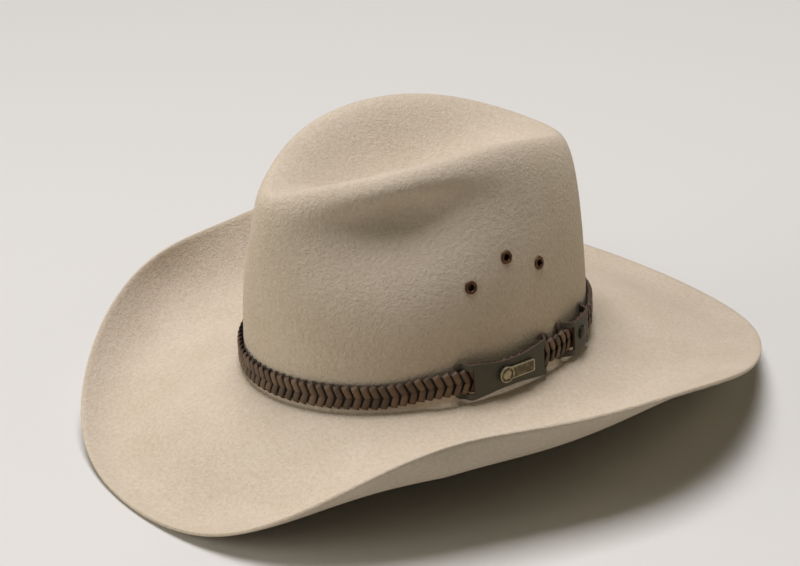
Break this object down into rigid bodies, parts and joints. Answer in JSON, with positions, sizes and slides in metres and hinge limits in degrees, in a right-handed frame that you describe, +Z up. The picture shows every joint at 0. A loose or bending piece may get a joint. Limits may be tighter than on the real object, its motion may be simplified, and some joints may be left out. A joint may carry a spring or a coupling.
{
  "type": "cowboy hat",
  "caption": "Western felt hat with a pinched crown, rolled brim, sweatband, satin lining, vent eyelets and a lift-off plaited leather hatband with slide tabs.",
  "frame": {"origin": "centre of the head opening, level with the break where the crown turns out into the brim", "axes": "+Z up towards the crown, -Y towards the front of the hat, +X towards the wearer's left"},
  "size_m": [0.3652, 0.4171, 0.1742],
  "materials": {
    "felt": "matt fur felt",
    "sweatband_leather": "satin roan leather",
    "reed_plastic": "smooth",
    "reed_tape_cloth": "woven tape",
    "thread": "twisted thread",
    "bow_ribbon": "grosgrain",
    "label": "plain woven label",
    "satin": "satin",
    "piping_cord": "corded satin",
    "clear_film": "clear film",
    "antique_brass": "antiqued",
    "plait_leather": "waxed leather thongs",
    "tab_leather": "oiled leather",
    "pewter": "worn pewter",
    "stud_metal": "dark lacquered"
  },
  "bodies": {
    "hat": {"felt_body": "felt", "sweatband": "sweatband_leather", "sweatband_reed": "reed_plastic", "reed_tape": "reed_tape_cloth", "sweatband_stitches": "thread", "splice_tape": "reed_tape_cloth", "splice_stitches": "thread", "sweatband_bow": "bow_ribbon", "size_label": "label", "lining_side": "satin", "lining_piping": "piping_cord", "lining_tip": "satin", "tip_protector": "clear_film", "vent_eyelets_left": "antique_brass", "vent_eyelets_right": "antique_brass", "vent_washers_left": "antique_brass", "vent_washers_right": "antique_brass"},
    "hatband": {"plaited_band": "plait_leather"},
    "badge_tab": {"slide_tab": "tab_leather", "badge": "pewter", "badge_posts": "pewter", "badge_washers": "pewter"},
    "keeper": {"rear_keeper": "tab_leather", "keeper_stud": "stud_metal"}
  },
  "joints": [
    {"name": "hatband_lift", "type": "slide", "parent": "hat", "child": "hatband", "axis": [0, 0, 1], "range_m": [0, 0.14]},
    {"name": "badge_tab_slide", "type": "hinge", "parent": "hatband", "child": "badge_tab", "pos_m": [-0.04445, 0, 0.0141], "axis": [0, 0, 1], "range_deg": [-2, 2]},
    {"name": "keeper_slide", "type": "hinge", "parent": "hatband", "child": "keeper", "pos_m": [-0.02601, 0.00599, 0.0141], "axis": [0, 0, 1], "range_deg": [-2, 2]}
  ]
}
